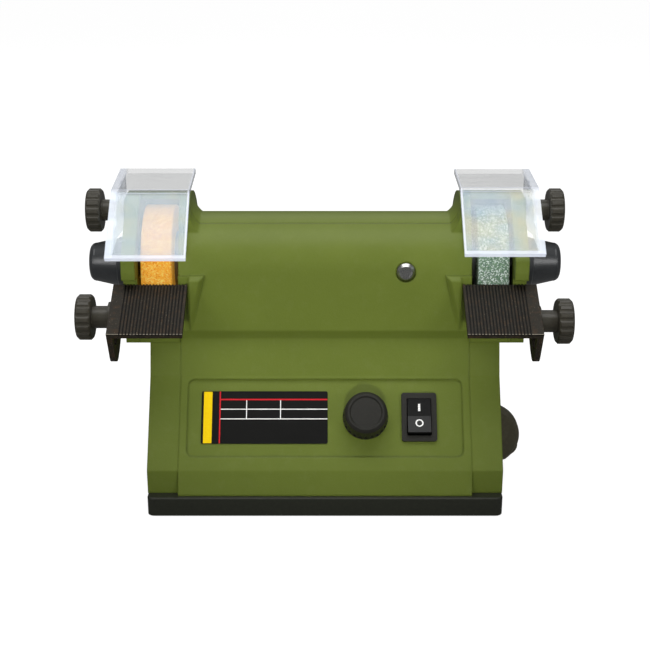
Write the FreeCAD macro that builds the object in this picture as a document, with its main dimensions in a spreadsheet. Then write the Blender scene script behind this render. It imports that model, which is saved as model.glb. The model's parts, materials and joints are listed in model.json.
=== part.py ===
"""Small two-wheel bench grinder: a parametric FreeCAD document, one object per real piece.

Axes: +X to the right along the spindle, -Y to the user, +Z up.  The origin is the middle of the
underside.  Most pieces are drawn about the spindle axis and lifted by the cell axis_height.
"""
import FreeCAD, Part
import Sketcher
import math
import os

V = FreeCAD.Vector
doc = FreeCAD.newDocument("bench_grinder")
sheet = doc.addObject("Spreadsheet::Sheet", "dims")

# Driving dimensions in millimetres and degrees.  "y" and "z" are measured from the spindle axis,
# "x" from the middle of the machine, always on the positive side.
CELLS = {
    # overall frame
    "axis_height": 95.6, "base_width": 150, "base_depth": 114, "base_top_z": -86.3,
    "base_thick": 8.3, "base_wall": 3, "base_floor": 2.5, "foot_rad": 6, "foot_drop": 1,
    "foot_tall": 2.6, "foot_x": 66, "foot_y": 48,
    # centre housing
    "shell_half": 62, "wall": 2.5, "barrel_rad": 22.2, "seam_y": -9.3, "joint_gap": 0.1,
    "lip_y": -24.5, "lip_z": -23.3, "step_y": -22.5, "step_z": -27.3,
    "brow_y": -28.1, "brow_z": -42.6, "chin_y": -52.3, "chin_z": -75.9, "toe_y": -55.1,
    "back_z": -18, "hip_y": 47, "hip_z": -46, "heel_y": 53,
    "panel_tilt": 36, "panel_half": 58.65, "panel_top": 1.4, "panel_low": 35.2, "panel_deep": 1.2,
    "vent_wide": 3, "vent_long": 24, "vent_pitch": 9,
    # end discs of the centre housing, the inner walls of the wheel guards
    "disc_rad": 31.2, "disc_x": 57.5, "disc_root_x": 53,
    "disc_cut_y": -14, "disc_cut_z": 2, "guard_floor_z": -28.5,
    # side housings and wheel guards
    "side_x": 75, "toe_side_y": -52.2, "guard_x": 79.2, "guard_out_x": 85, "guard_wall": 2.5,
    "guard_top_y": -2, "guard_front_y": -25, "guard_front_z": -17, "guard_skin": 2.5,
    "guard_bay_rad": 20, "guard_nose_y": -29.8, "guard_mouth_y": -24.4, "guard_mouth_z": 0.8,
    "guard_screw_in": 1.7, "guard_head_rad": 1.4, "guard_head_deep": 1.8, "guard_hole_rad": 0.7,
    "guard_screw_reach": 9, "visor_boss_tall": 3.6, "rest_boss_tall": 1.1,
    "side_head_rad": 3.1, "side_head_deep": 1.8, "side_hole_rad": 1.5, "side_screw_long": 12,
    # visors
    "visor_x": 57.8, "visor_out_x": 91.3, "visor_thick": 2.2, "visor_back_y": 24.3,
    "visor_back_z": 36, "visor_bend_y": -5.4, "visor_bend_z": 33.4, "visor_low_y": -31.6,
    "visor_low_z": 11.2, "visor_axis_y": 15.2, "visor_axis_z": 19.3, "visor_lift": 2.5,
    "visor_boss_rad": 6,
    # tool rests
    "rest_x": 58, "rest_out_x": 89, "rest_thick": 2.3, "rest_tilt": 26.5, "rest_long": 28.9,
    "rest_edge_y": -51.7, "rest_edge_z": -14.9, "rest_flange": 2.5, "rest_rib_pitch": 1.35,
    "rest_rib_deep": 0.45, "rest_rib_half": 0.3, "rest_drop": 20,
    "rest_pin_along": 17.2, "rest_slot_half": 3.8, "rest_slot_front": 5.2, "rest_slot_back": 24.6,
    "rest_pin_down_left": 7.6, "rest_pin_down_right": 10.1, "rest_boss_rad": 4.7,
    # clamp screws
    "screw_rad": 2.5, "collar_rad": 4.7, "knob_rad": 9.6, "knob_tall": 6.4, "knob_notches": 16,
    "visor_knob_x": 98.8, "rest_knob_x": 97.0, "screw_tip_x": 80.6, "insert_rad": 3.8,
    # grinding wheels and spindle
    "wheel_rad": 25, "wheel_bore": 6.35, "wheel_x": 64.5, "wheel_wide": 13, "flange_rad": 13.5,
    "flange_thick": 1.9, "sleeve_rad": 6.32, "spindle_rad": 4, "thread_rad": 3, "spindle_tip_x": 91,
    "nut_flats": 10, "nut_tall": 5, "bearing_rad": 11, "bearing_wide": 7, "bearing_x": 51.5,
    # motor
    "can_rad": 18.5, "can_wall": 1.5, "can_half": 37.5, "bell_thick": 2, "magnet_in": 14.2,
    "core_rad": 13.6, "core_left": -22, "core_right": 16, "coil_rad": 11.6, "coil_long": 6,
    "comm_rad": 6, "comm_x": 25, "comm_long": 9, "brush_half": 2, "brush_long": 6.5,
    # end caps
    "cap_rad": 10.6, "cap_tip_rad": 8.4, "cap_rim_rad": 11.6, "cap_rim_x": 87, "cap_neck_x": 89.6,
    "cap_tip_x": 102.4, "cap_hollow_rad": 7.4, "cap_hollow_x": 99.5, "cap_hole_rad": 9,
    # control panel
    "row_down": 18, "dial_x": 17.2, "dial_rad": 9.65, "dial_face_rad": 8.7, "dial_tall": 10.5,
    "dial_gap": 0.4, "dial_notches": 24, "pot_rad": 8.5, "pot_deep": 8, "pot_shaft_rad": 3,
    "switch_x": 40.1, "bezel_half_x": 7.5, "bezel_half_y": 10.5, "bezel_tall": 1.4,
    "rocker_half_x": 4.9, "rocker_half_y": 7.4, "switch_deep": 19, "rocker_press": 6,
    "plate_x": -25.8, "plate_half_x": 26.95, "plate_half_y": 11.4, "plate_thick": 0.4,
    # cord outlet, board and screws
    "outlet_rad": 14.6, "outlet_out_x": 86, "outlet_y": -22, "outlet_thick": 4.5,
    "outlet_z": -74.2, "outlet_low_z": -86, "boss_rad": 5.4, "boss_x": 80.4, "boss_z": -79.6,
    "boss_back_y": 4, "outlet_hole": 3.4,
    "board_x": 34, "board_y": 26, "board_thick": 1.6, "board_z": -70,
    "front_screw_x": 34.2, "front_screw_z": 2, "front_screw_rad": 3.95, "front_screw_hex": 2.95,
    "front_screw_shank": 1.9,
}
for row, (cell, number) in enumerate(CELLS.items(), start=1):
    sheet.set("A%d" % row, cell)
    sheet.set("B%d" % row, str(number))
    sheet.setAlias("B%d" % row, cell)
doc.recompute()


class Size:
    """A size worked out from the sheet: its present value and the expression that binds it."""

    def __init__(self, value, text):
        self.value = float(value)
        self.text = text

    def __add__(self, other):
        other = as_size(other)
        return Size(self.value + other.value, "(%s + %s)" % (self.text, other.text))

    def __sub__(self, other):
        other = as_size(other)
        return Size(self.value - other.value, "(%s - %s)" % (self.text, other.text))

    def __mul__(self, other):
        other = as_size(other)
        return Size(self.value * other.value, "(%s * %s)" % (self.text, other.text))

    def __truediv__(self, other):
        other = as_size(other)
        return Size(self.value / other.value, "(%s / %s)" % (self.text, other.text))

    def __neg__(self):
        return Size(-self.value, "(0 - %s)" % self.text)

    __radd__ = __add__
    __rmul__ = __mul__

    def __rsub__(self, other):
        return as_size(other) - self


def as_size(thing):
    return thing if isinstance(thing, Size) else Size(thing, "(%r)" % float(thing))


def cell(name):
    return Size(CELLS[name], "dims." + name)


def root(square):
    return Size(math.sqrt(square.value), "sqrt(%s)" % square.text)


def cosine(angle):
    return Size(math.cos(math.radians(angle.value)), "cos(%s * 1 deg)" % angle.text)


def sine(angle):
    return Size(math.sin(math.radians(angle.value)), "sin(%s * 1 deg)" % angle.text)


def bind(thing, prop, size):
    thing.setExpression(prop, as_size(size).text)


def place(thing, x=0, y=0, z=0, about=None, turn=0):
    """Puts an object at x, y, z (spindle axis height is added to z), turned about one axis."""
    x, y, z = as_size(x), as_size(y), as_size(z) + cell("axis_height")
    turn = as_size(turn)
    spin = FreeCAD.Rotation(about or V(0, 0, 1), turn.value)
    thing.Placement = FreeCAD.Placement(V(x.value, y.value, z.value), spin)
    for prop, size in (("Base.x", x), ("Base.y", y), ("Base.z", z)):
        bind(thing, "Placement." + prop, size)
    if about:
        bind(thing, "Placement.Rotation.Angle", turn)
    return thing


def new_body(label, x=0, y=0, z=0, about=None, turn=0):
    body = doc.addObject("PartDesign::Body", label)
    body.Label = label
    return place(body, x, y, z, about, turn)


def new_sketch(body, plane, name, lift=0):
    """A sketch on one of the body's origin planes, lifted along that plane's normal."""
    sketch = body.newObject("Sketcher::SketchObject", body.Name + "_" + name)
    origin = [f for f in body.Origin.OriginFeatures if f.Role == plane][0]
    sketch.AttachmentSupport = [(origin, "")]
    sketch.MapMode = "FlatFace"
    bind(sketch, "AttachmentOffset.Base.z", lift)
    return sketch


def hold(sketch, kind, first, spot, size):
    """One bound distance from the sketch's origin to a point, or one bound radius."""
    size = as_size(size)
    if kind == "Radius":
        index = sketch.addConstraint(Sketcher.Constraint(kind, first, size.value))
    else:
        index = sketch.addConstraint(Sketcher.Constraint(kind, -1, 1, first, spot, size.value))
    sketch.setExpression("Constraints[%d]" % index, size.text)


def outline(sketch, points):
    """A closed outline.  (u, v) ends a straight line, (u, v, radius, +1/-1) ends an arc that
    turns left (+1) or right (-1) from the point before it."""
    points = [tuple(as_size(number) for number in point[:3]) + point[3:] for point in points]
    first = sketch.GeometryCount
    count = len(points)
    starts, ends = [], []
    for index in range(count):
        a, b = points[index - 1], points[index]
        p, q = V(a[0].value, a[1].value, 0), V(b[0].value, b[1].value, 0)
        if len(b) == 2:
            sketch.addGeometry(Part.LineSegment(p, q), False)
            starts.append(1)
            ends.append(2)
            continue
        radius, turn = b[2].value, b[3]
        chord = q - p
        side = V(-chord.y, chord.x, 0).normalize() * turn
        reach = math.sqrt(max(radius ** 2 - (chord.Length / 2) ** 2, 0))
        centre = (p + q) * 0.5 + side * reach
        from_angle = math.atan2(p.y - centre.y, p.x - centre.x)
        to_angle = math.atan2(q.y - centre.y, q.x - centre.x)
        if turn < 0:
            from_angle, to_angle = to_angle, from_angle
        circle = Part.Circle(centre, V(0, 0, 1), radius)
        sketch.addGeometry(Part.ArcOfCircle(circle, from_angle, to_angle), False)
        starts.append(1 if turn > 0 else 2)
        ends.append(2 if turn > 0 else 1)
    for index in range(count):
        after = (index + 1) % count
        joint = (first + index, ends[index], first + after, starts[after])
        sketch.addConstraint(Sketcher.Constraint("Coincident", *joint))
    for index in range(count):
        hold(sketch, "DistanceX", first + index, ends[index], points[index][0])
        hold(sketch, "DistanceY", first + index, ends[index], points[index][1])
        if len(points[index]) > 2:
            hold(sketch, "Radius", first + index, 0, points[index][2])


def ring(sketch, u, v, radius):
    index = sketch.GeometryCount
    u, v, radius = as_size(u), as_size(v), as_size(radius)
    circle = Part.Circle(V(u.value, v.value, 0), V(0, 0, 1), radius.value)
    sketch.addGeometry(circle, False)
    hold(sketch, "DistanceX", index, 3, u)
    hold(sketch, "DistanceY", index, 3, v)
    hold(sketch, "Radius", index, 0, radius)


def box_points(u0, u1, v0, v1):
    return [(u0, v0), (u1, v0), (u1, v1), (u0, v1)]


def rounded_points(u0, u1, v0, v1, radius):
    """A rectangle with round corners, left-turning from the lower left."""
    u0, u1, v0, v1, radius = (as_size(number) for number in (u0, u1, v0, v1, radius))
    return [(u1 - radius, v0), (u1, v0 + radius, radius, 1),
            (u1, v1 - radius), (u1 - radius, v1, radius, 1),
            (u0 + radius, v1), (u0, v1 - radius, radius, 1), (u0, v0 + radius),
            (u0 + radius, v0, radius, 1)]


def slot_points(u0, u1, v, half):
    """A round-ended slot along u, between the centres u0 and u1."""
    u0, u1, v, half = (as_size(number) for number in (u0, u1, v, half))
    return [(u1, v - half), (u1 + half, v, half, 1), (u1, v + half, half, 1),
            (u0, v + half), (u0 - half, v, half, 1), (u0, v - half, half, 1)]


def draw(sketch, shapes):
    for shape in shapes:
        if isinstance(shape, tuple):
            ring(sketch, *shape)
        else:
            outline(sketch, shape)


def extrude(kind, body, plane, name, start, length, shapes):
    sketch = new_sketch(body, plane, name, start)
    draw(sketch, shapes)
    made = body.newObject("PartDesign::" + kind, "%s_%s" % (body.Name, name + kind.lower()))
    made.Profile = sketch
    bind(made, "Length", length)
    made.Reversed = kind == "Pocket"
    return made


def pad(body, plane, name, start, length, *shapes):
    return extrude("Pad", body, plane, name, start, length, shapes)


def pocket(body, plane, name, start, length, *shapes):
    """Removes from start towards the plane's own normal, and makes sure that it removed some."""
    doc.recompute()
    before = body.Shape.Volume
    made = extrude("Pocket", body, plane, name, start, length, shapes)
    doc.recompute()
    if not body.Shape.Volume < before - 1e-6:
        raise RuntimeError("the pocket %s of %s removes nothing" % (name, body.Label))
    return made


def spin(body, name, points, plane="XZ_Plane", axis="H_Axis"):
    sketch = new_sketch(body, plane, name)
    outline(sketch, points)
    made = body.newObject("PartDesign::Revolution", body.Name + "_" + name + "revolution")
    made.Profile = sketch
    made.ReferenceAxis = (sketch, [axis])
    made.Angle = 360
    return made


def turned(label, points, side=1, y=0, z=0, x=0):
    """A piece turned about an axis along X; the left one is the right one turned about Z."""
    body = new_body(label, x, y, z, *(() if side > 0 else (V(0, 0, 1), 180)))
    spin(body, "profile", points)
    return body


def round_edges(body, radius, chosen, kind="Fillet"):
    doc.recompute()
    base = body.Tip
    names = ["Edge%d" % (n + 1) for n, edge in enumerate(base.Shape.Edges) if chosen(edge)]
    if not names:
        raise RuntimeError("no edge of %s to round" % body.Label)
    made = body.newObject("PartDesign::" + kind, body.Name + "_" + kind.lower())
    made.Base = (base, names)
    bind(made, "Radius" if kind == "Fillet" else "Size", radius)
    return made


def block(name, x0, x1, y0, y1, z0, z1):
    made = doc.addObject("Part::Box", name)
    for prop, low, high in (("Length", x0, x1), ("Width", y0, y1), ("Height", z0, z1)):
        bind(made, prop, as_size(high) - low)
    return place(made, x0, y0, z0)


def rod(name, radius, x0, x1, y=0, z=0):
    """A cylinder along X from x0 to x1."""
    made = doc.addObject("Part::Cylinder", name)
    bind(made, "Radius", radius)
    bind(made, "Height", as_size(x1) - x0)
    return place(made, x0, y, z, V(0, 1, 0), 90)


def peg(name, radius, x, y, z0, z1):
    """A cylinder along Z from z0 to z1."""
    made = doc.addObject("Part::Cylinder", name)
    bind(made, "Radius", radius)
    bind(made, "Height", as_size(z1) - z0)
    return place(made, x, y, z0)


def tube(name, outer, inner, x0, x1, y=0, z=0):
    return cut(name, rod(name + "_outside", outer, x0, x1, y, z),
               rod(name + "_bore", inner, x0, x1, y, z))


def join(kind, name, members):
    made = doc.addObject("Part::" + kind, name)
    made.Label = name
    setattr(made, "Links" if kind == "Compound" else "Shapes", list(members))
    return made


def cut(name, base, *tools):
    made = doc.addObject("Part::Cut", name)
    made.Label = name
    made.Base = base
    made.Tool = tools[0] if len(tools) == 1 else join("MultiFuse", name + "_tools", tools)
    return made


def group(name, members):
    """Identical or paired solids that share one name."""
    return join("Compound", name, members)


SIDES = (("left", -1), ("right", 1))
nodes = []


def node(made):
    nodes.append(made)
    return made


def reach(side, x0, x1):
    """Where a slice between x0 and x1 starts, on the right or mirrored on the left."""
    return as_size(x0) if side > 0 else -as_size(x1)


# ---- base ------------------------------------------------------------------------------------
base_low = cell("base_top_z") - cell("base_thick")
half_wide, half_deep = cell("base_width") / 2, cell("base_depth") / 2


def make_base():
    body = new_body("base_plate")
    pad(body, "XY_Plane", "slab", base_low, cell("base_thick"),
        rounded_points(-half_wide, half_wide, -half_deep, half_deep, 3))
    rim = cell("base_wall")
    pocket(body, "XY_Plane", "underside", base_low, cell("base_thick") - cell("base_floor"),
           rounded_points(rim - half_wide, half_wide - rim, rim - half_deep, half_deep - rim, 2))
    for name, x, y in corner_list(cell("foot_x"), cell("foot_y")):
        pad(body, "XY_Plane", "boss_" + name, base_low + 1.6, cell("base_thick") - 1.6,
            (x, y, cell("foot_rad") + 1.2))
    round_edges(body, 0.8, lambda edge: edge.CenterOfMass.z > CELLS["base_top_z"] - 0.001)
    return body


def corner_list(x, y):
    return [("front_left", -x, -y), ("front_right", x, -y), ("back_left", -x, y), ("back_right", x, y)]


def make_feet():
    feet = []
    for name, x, y in corner_list(cell("foot_x"), cell("foot_y")):
        low = base_low - cell("foot_drop")
        feet.append(peg("foot_" + name, cell("foot_rad"), x, y, low, low + cell("foot_tall")))
    return group("rubber_feet", feet)


# ---- centre housing --------------------------------------------------------------------------
def barrel_z(radius, y):
    return root(radius * radius - y * y)


def front_points(radius, shift):
    """Front half of the housing's profile; shift moves the facets back for the inner face."""
    y, low = cell("seam_y"), cell("base_top_z")
    brow_start = cell("disc_cut_z")
    names = (("lip_y", "lip_z"), ("step_y", "step_z"), ("brow_y", "brow_z"), ("chin_y", "chin_z"))
    facets = [(cell(a) + shift, cell(b)) for a, b in names]
    return [(y, low), (y, barrel_z(radius, y)),
            (-barrel_z(radius, brow_start), brow_start, radius, 1)] + facets + \
           [(cell("toe_y") + shift, low)]


def rear_points(radius, shift):
    y, low = cell("seam_y") + cell("joint_gap"), cell("base_top_z")
    return [(y, low), (cell("heel_y") - shift, low), (cell("hip_y") - shift, cell("hip_z")),
            (radius, cell("back_z") - shift * 0.5), (radius, 0), (y, barrel_z(radius, y), radius, 1)]


def slice_body(label, start, length, points):
    body = new_body(label)
    pad(body, "YZ_Plane", "profile", start, length, points)
    return body


shell_half, wall = cell("shell_half"), cell("wall")
inner_rad = cell("barrel_rad") - wall
inner_half = shell_half - wall


def disc_form(name, side):
    """Round end disc that flares out of the barrel beside each wheel."""
    x, rad = cell("disc_x"), cell("disc_rad")
    start, start_rad = cell("disc_root_x"), cell("barrel_rad") - 0.3
    points = [(start, 0), (start, start_rad), (x, rad, 10, 1), (shell_half, rad), (shell_half, 0)]
    return turned("disc_form_" + name, points, side)


disc_forms = join("MultiFuse", "disc_forms", [disc_form(name, side) for name, side in SIDES])


def visor_normal():
    """Unit normal of the visor's front sheet, and how far that sheet's outside is from the axis."""
    dy = cell("visor_bend_y") - cell("visor_low_y")
    dz = cell("visor_bend_z") - cell("visor_low_z")
    long = root(dy * dy + dz * dz)
    ny, nz = -dz / long, dy / long
    return ny, nz, ny * cell("visor_bend_y") + nz * cell("visor_bend_z")


def visor_room(name, side):
    """What the disc must leave free so that the visor's front sheet can close in front of it."""
    ny, nz, far = visor_normal()
    far = far - cell("visor_thick") - 0.4
    top, low = 40, 5
    at_top = (far - nz * top) / ny
    at_low = (far - nz * low) / ny
    points = [(at_low, low), (at_top, top), (at_low - 20, top), (at_low - 20, low)]
    start = reach(side, cell("disc_x"), shell_half + 0.5)
    return slice_body("visor_room_" + name, start, shell_half + 0.5 - cell("disc_x"), points)


visor_rooms = join("MultiFuse", "visor_rooms", [visor_room(name, side) for name, side in SIDES])


def clipped_discs(name, y0, y1):
    keep = block(name + "_zone", -shell_half, shell_half, y0, y1, cell("guard_floor_z"), 40)
    both = doc.addObject("Part::Common", name + "_kept")
    both.Base, both.Tool = disc_forms, keep
    return cut(name, both, visor_rooms)


def on_panel(thing, u, v, w):
    """Places a thing on the sloping control panel: u across, v up the slope from its top edge,
    w outwards.  The thing's own Z then points straight out of the panel."""
    turn = 90 - cell("panel_tilt")
    y = cell("brow_y") + v * cosine(turn) - w * sine(turn)
    z = cell("brow_z") + v * sine(turn) + w * cosine(turn)
    return place(thing, u, y, z, V(1, 0, 0), turn)


def panel_form(name, low, tall, shape, u=0, v=0):
    body = new_body(name)
    on_panel(body, as_size(u), as_size(v), as_size(0))
    pad(body, "XY_Plane", "outline", low, tall, shape)
    return body


def buttress(name, side):
    """Raised pad on the lower barrel beside each guard, narrower at its foot."""
    lip_y, lip_z, top_z = cell("lip_y"), cell("lip_z"), cell("disc_cut_z")
    inner_top, inner_low = shell_half - 11, shell_half - 5.5
    outer = cell("visor_x") - 0.4
    points = [(side * inner_top, top_z - 1), (side * outer, top_z - 1),
              (side * outer, lip_z), (side * inner_low, lip_z)]
    if side < 0:
        points.reverse()
    body = new_body("buttress_" + name)
    pad(body, "XZ_Plane", "outline", -(lip_y + 4), 5.3, points)
    bevel = 1.8
    round_edges(body, bevel, lambda edge: buttress_edge(edge, side), "Chamfer")
    return body


def buttress_edge(edge, side):
    """The inner and upper edges of a buttress's front face."""
    centre, box = edge.CenterOfMass, edge.BoundBox
    in_front = box.YLength < 0.001 and centre.y < CELLS["lip_y"] - 0.5
    return in_front and side * centre.x < CELLS["visor_x"] - 1 and centre.z > CELLS["lip_z"] + 1


row_v = -cell("row_down")
deep = cell("panel_deep")


def make_front_cover():
    outside = slice_body("front_outside", -shell_half, shell_half * 2,
                         front_points(cell("barrel_rad"), 0))
    inside = slice_body("front_inside", -inner_half, inner_half * 2,
                        front_points(inner_rad, wall * 1.15))
    discs = clipped_discs("front_discs", cell("disc_cut_y"), cell("seam_y"))
    pads = []
    for name, side in SIDES:
        start = reach(side, cell("visor_x") - 1, shell_half)
        pads += [buttress(name, side),
                 block("buttress_foot_" + name, start, start + shell_half - cell("visor_x") + 1,
                       cell("lip_y") + 0.4, cell("lip_y") + 4, cell("lip_z"), cell("disc_cut_z") - 1)]
    full = join("MultiFuse", "front_full", [outside, discs] + pads)
    half = cell("panel_half")
    recess = panel_form("panel_recess", -deep, deep + 4,
                        rounded_points(-half, half, -cell("panel_low"), -cell("panel_top"), 3))
    dial_hole = panel_form("dial_hole", -8, 12, (0, 0, cell("pot_shaft_rad") + 0.9),
                           cell("dial_x"), row_v)
    half_u, half_v = cell("bezel_half_x") - 0.8, cell("bezel_half_y") - 0.8
    switch_hole = panel_form("switch_hole", -8, 12, box_points(-half_u, half_u, -half_v, half_v),
                             cell("switch_x"), row_v)
    screw_hole = doc.addObject("Part::Cylinder", "screw_hole")
    bind(screw_hole, "Radius", cell("front_screw_rad") + 0.35)
    screw_hole.Height = 12
    place(screw_hole, cell("front_screw_x"), -cell("barrel_rad") + 1.6, cell("front_screw_z"),
          V(1, 0, 0), 90)
    shank_hole = doc.addObject("Part::Cylinder", "shank_hole")
    bind(shank_hole, "Radius", cell("front_screw_shank") + 0.05)
    shank_hole.Height = 12
    place(shank_hole, cell("front_screw_x"), -cell("barrel_rad") + 6, cell("front_screw_z"),
          V(1, 0, 0), 90)
    shaft = tube_hole("front")
    return cut("front_cover", full, inside, recess, dial_hole, switch_hole, screw_hole,
               shank_hole, shaft)


def tube_hole(name):
    """The bearing seats bored through both end walls."""
    return rod(name + "_seat_bore", cell("bearing_rad"), -shell_half - 1, shell_half + 1)


def make_rear_cover():
    outside = slice_body("rear_outside", -shell_half, shell_half * 2,
                         rear_points(cell("barrel_rad"), 0))
    inside = slice_body("rear_inside", -inner_half, inner_half * 2, rear_points(inner_rad, wall))
    discs = clipped_discs("rear_discs", cell("seam_y") + cell("joint_gap"), 40)
    full = join("MultiFuse", "rear_full", [outside, discs])
    vents = vent_forms()
    return cut("rear_cover", full, inside, tube_hole("rear"), *vents)


def vent_forms():
    """Cooling slots through the sloping back, in one row."""
    made = []
    half, long = cell("vent_wide") / 2, cell("vent_long") / 2
    for index in range(-5, 6):
        x = cell("vent_pitch") * index
        body = new_body("vent_%d" % (index + 5), x, 34, -34, V(1, 0, 0), -42)
        pad(body, "XY_Plane", "slot", -9, 22,
            [(half, long), (0, long + half, half, 1), (-half, long, half, 1),
             (-half, -long), (0, -long - half, half, 1), (half, -long, half, 1)])
        made.append(body)
    return made


# ---- side housings and wheel guards ------------------------------------------------------------
side_x, guard_x, guard_out = cell("side_x"), cell("guard_x"), cell("guard_out_x")
floor_z = cell("guard_floor_z")


def side_points(shift, top_z, low_z):
    """Profile of the box under each guard; shift makes the inner face."""
    fall = (top_z - cell("step_z")) / (cell("brow_z") - cell("step_z"))
    front_y = cell("step_y") + (cell("brow_y") - cell("step_y")) * fall
    slide = (top_z - cell("back_z")) / (cell("hip_z") - cell("back_z"))
    rear_y = cell("barrel_rad") + (cell("hip_y") - cell("barrel_rad")) * slide
    return [(front_y + shift, top_z), (cell("brow_y") + shift, cell("brow_z")),
            (cell("chin_y") + shift, cell("chin_z")), (cell("toe_side_y") + shift, low_z),
            (cell("heel_y") - shift, low_z), (cell("hip_y") - shift, cell("hip_z")),
            (rear_y - shift, top_z)]


def guard_ring_points():
    """The guard's rim: round at the back and top, flat below, a low wall at the front."""
    out, skin = cell("disc_rad"), cell("guard_skin")
    inner = out - skin
    top_y, front_y, front_z = cell("guard_top_y"), cell("guard_front_y"), cell("guard_front_z")
    floor_in = floor_z + skin - 0.2
    return [(top_y, barrel_z(out, top_y)),
            (barrel_z(out, floor_z), floor_z, out, -1), (front_y, floor_z),
            (front_y - 2, front_z), (front_y - 2 + skin, front_z), (front_y + skin, floor_in),
            (barrel_z(inner, floor_in), floor_in), (top_y, barrel_z(inner, top_y), inner, 1)]


def guard_screw_spots():
    """Three small screws round each guard cover, as y, z pairs."""
    radius = cell("disc_rad") - cell("guard_screw_in")
    return [(radius * cosine(as_size(turn)), radius * sine(as_size(turn))) for turn in (75, 10, -55)]


side_screw_spots = ((-38, -76), (4, -44), (40, -76))


def make_side_housing(name, side):
    low = cell("base_top_z")
    box = slice_body("side_box_" + name, reach(side, shell_half, side_x), side_x - shell_half,
                     side_points(as_size(0), floor_z, low))
    bay = slice_body("side_bay_" + name, reach(side, shell_half, side_x - wall),
                     side_x - wall - shell_half, side_points(wall * 1.15, floor_z - wall, low))
    rim = slice_body("guard_rim_" + name, reach(side, shell_half, guard_x), guard_x - shell_half,
                     guard_ring_points())
    whole = join("MultiFuse", "side_whole_" + name, [box, rim])
    tools = [bay]
    head_rad, head_deep = cell("side_head_rad"), cell("side_head_deep")
    for index, (y, z) in enumerate(side_screw_spots):
        tag = "%s_%d" % (name, index)
        head = reach(side, side_x - head_deep, side_x + 1)
        hole = reach(side, side_x - wall - 1, side_x + 1)
        tools.append(rod("side_head_hole_" + tag, head_rad, head, head + head_deep + 1, y, z))
        tools.append(rod("side_shank_hole_" + tag, cell("side_hole_rad"), hole, hole + wall + 2, y, z))
    deep = cell("guard_screw_reach")
    for index, (y, z) in enumerate(guard_screw_spots()):
        start = reach(side, guard_x - deep, guard_x)
        tools.append(rod("rim_hole_%s_%d" % (name, index), cell("guard_hole_rad"), start, start + deep,
                         y, z))
    return cut(name + "_side_housing", whole, *tools)


rest_tilt = cell("rest_tilt")
along_y, along_z = cosine(rest_tilt), sine(rest_tilt)


def rest_point(s, n):
    """A point of the tool rest: s back from its front edge, n above its top face."""
    s, n = as_size(s), as_size(n)
    return (cell("rest_edge_y") + s * along_y - n * along_z,
            cell("rest_edge_z") + s * along_z + n * along_y)


def rest_axis(name):
    return rest_point(cell("rest_pin_along"), -cell("rest_pin_down_" + name))


def make_guard_cover(name, side):
    ny, nz, far = visor_normal()
    far = far - cell("visor_thick") - 0.4
    out, boss = cell("disc_rad"), cell("rest_boss_rad")
    turn = root(out * out - far * far)
    crown = (far * ny + turn * nz, far * nz - turn * ny)
    nose_y, mouth_y, mouth_z = cell("guard_nose_y"), cell("guard_mouth_y"), cell("guard_mouth_z")
    axis_y, axis_z = rest_axis(name)
    upper = (axis_y - boss * along_z, axis_z + boss * along_y)
    root_z = upper[1] + (mouth_y - upper[0]) * along_z / along_y
    front_y = cell("guard_front_y")
    points = [(front_y, floor_z), (barrel_z(out, floor_z), floor_z), crown + (out, 1),
              (nose_y, (far - nose_y * ny) / nz), (nose_y - 0.4, 4), (nose_y, mouth_z),
              (mouth_y, mouth_z), (mouth_y, root_z), upper,
              (axis_y, axis_z - boss, boss, 1), (front_y, axis_z - boss - 2.5)]
    body = new_body(name + "_guard_cover")
    thick = guard_out - guard_x
    pad(body, "YZ_Plane", "plate", reach(side, guard_x, guard_out), thick, points)
    visor_tall, rest_tall = cell("visor_boss_tall"), cell("rest_boss_tall")
    outer = reach(side, guard_out - 1, guard_out + visor_tall)
    visor_axis = (cell("visor_axis_y"), cell("visor_axis_z"))
    pad(body, "YZ_Plane", "visor_boss", outer, visor_tall + 1, visor_axis + (cell("visor_boss_rad"),))
    outer = reach(side, guard_out - 1, guard_out + rest_tall)
    pad(body, "YZ_Plane", "rest_boss", outer, rest_tall + 1, (axis_y, axis_z, boss))
    bay = thick - cell("guard_wall")
    pocket(body, "YZ_Plane", "bay", reach(side, guard_x, guard_x + bay), bay,
           (0, 0, cell("guard_bay_rad")))
    through = reach(side, guard_x - 1, guard_out + visor_tall + 1)
    pocket(body, "YZ_Plane", "holes", through, thick + visor_tall + 2, (0, 0, cell("cap_hole_rad")),
           visor_axis + (cell("insert_rad"),), (axis_y, axis_z, cell("insert_rad")))
    head = cell("guard_head_deep")
    for index, (y, z) in enumerate(guard_screw_spots()):
        pocket(body, "YZ_Plane", "head_%d" % index, reach(side, guard_out - head, guard_out), head,
               (y, z, cell("guard_head_rad")))
        pocket(body, "YZ_Plane", "hole_%d" % index, reach(side, guard_x, guard_out), thick,
               (y, z, cell("guard_hole_rad")))
    return body


def make_threaded_inserts(name, side):
    """Brass inserts that the clamp screws turn in, one for the visor and one for the rest."""
    made = []
    spots = (("visor", cell("visor_axis_y"), cell("visor_axis_z"), guard_out + cell("visor_boss_tall")),
             ("rest",) + rest_axis(name) + (guard_out + cell("rest_boss_tall"),))
    for use, y, z, end in spots:
        start = reach(side, guard_x + 0.8, end)
        made.append(tube("%s_insert_%s" % (use, name), cell("insert_rad"), cell("screw_rad") + 0.04,
                         start, start + (end - guard_x - 0.8), y, z))
    return group(name + "_threaded_inserts", made)


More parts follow.
